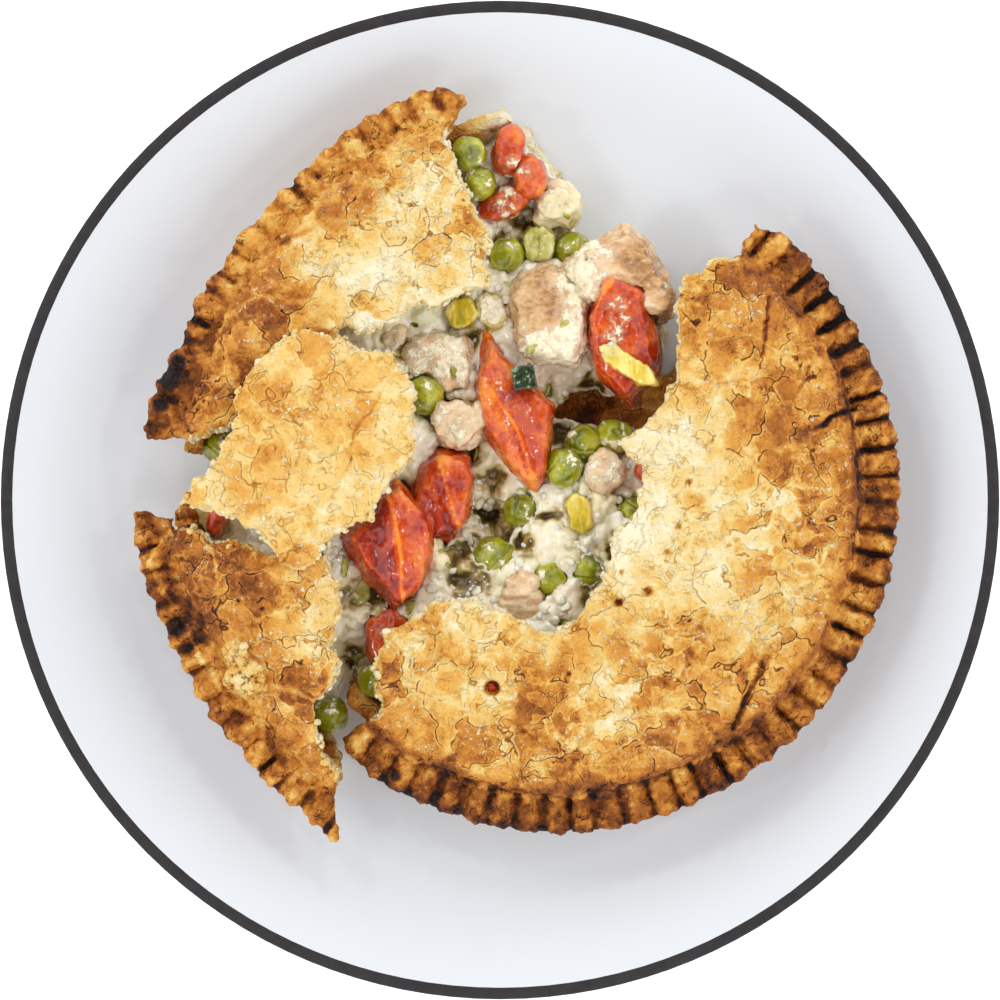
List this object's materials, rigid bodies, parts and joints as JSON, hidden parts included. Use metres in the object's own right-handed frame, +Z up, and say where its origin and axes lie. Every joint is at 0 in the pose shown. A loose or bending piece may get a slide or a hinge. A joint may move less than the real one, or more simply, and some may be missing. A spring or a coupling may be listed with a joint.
{
  "type": "chicken pot pie",
  "caption": "Small round chicken pot pie broken open on its plate, showing peas, carrots and chicken in a pale sauce.",
  "frame": {"origin": "centre of the plate, at the surface that it stands on", "axes": "+Z up; the largest piece of pastry lies on the +X side and the gap that shows the filling opens towards +Y"},
  "size_m": [0.2292, 0.2292, 0.0413],
  "materials": {
    "glaze": "glossy white glaze with a thin dark line round the rim",
    "pastry": "matte browned pastry",
    "pale_pastry": "matte pale pastry",
    "sauce": "wet cream sauce",
    "carrot": "wet cooked carrot",
    "pea": "wet cooked pea",
    "chicken": "moist cooked meat",
    "celery": "wet cooked celery",
    "leek": "wet cooked leek",
    "potato": "wet cooked potato",
    "courgette": "wet green skin and pale flesh"
  },
  "bodies": {
    "root": {"carrot_1": "carrot", "carrot_10": "carrot", "carrot_2": "carrot", "carrot_3": "carrot", "carrot_4": "carrot", "carrot_5": "carrot", "carrot_6": "carrot", "carrot_7": "carrot", "carrot_8": "carrot", "carrot_9": "carrot", "celery_1": "celery", "celery_2": "celery", "celery_3": "celery", "celery_4": "celery", "chicken_1": "chicken", "chicken_2": "chicken", "chicken_3": "chicken", "chicken_4": "chicken", "chicken_5": "chicken", "chicken_6": "chicken", "chicken_7": "chicken", "chicken_8": "chicken", "courgette_1": "courgette", "crust_lower_left": "pastry", "crust_right": "pastry", "crust_upper_left": "pastry", "filling": "sauce", "leek_1": "leek", "leek_2": "leek", "leek_3": "leek", "leek_4": "leek", "lid_flake": "pale_pastry", "pea_1": "pea", "pea_10": "pea", "pea_11": "pea", "pea_12": "pea", "pea_13": "pea", "pea_14": "pea", "pea_15": "pea", "pea_16": "pea", "pea_17": "pea", "pea_18": "pea", "pea_19": "pea", "pea_2": "pea", "pea_3": "pea", "pea_4": "pea", "pea_5": "pea", "pea_6": "pea", "pea_7": "pea", "pea_8": "pea", "pea_9": "pea", "plate": "glaze", "potato_1": "potato", "potato_2": "potato", "potato_3": "potato"}
  },
  "joints": []
}
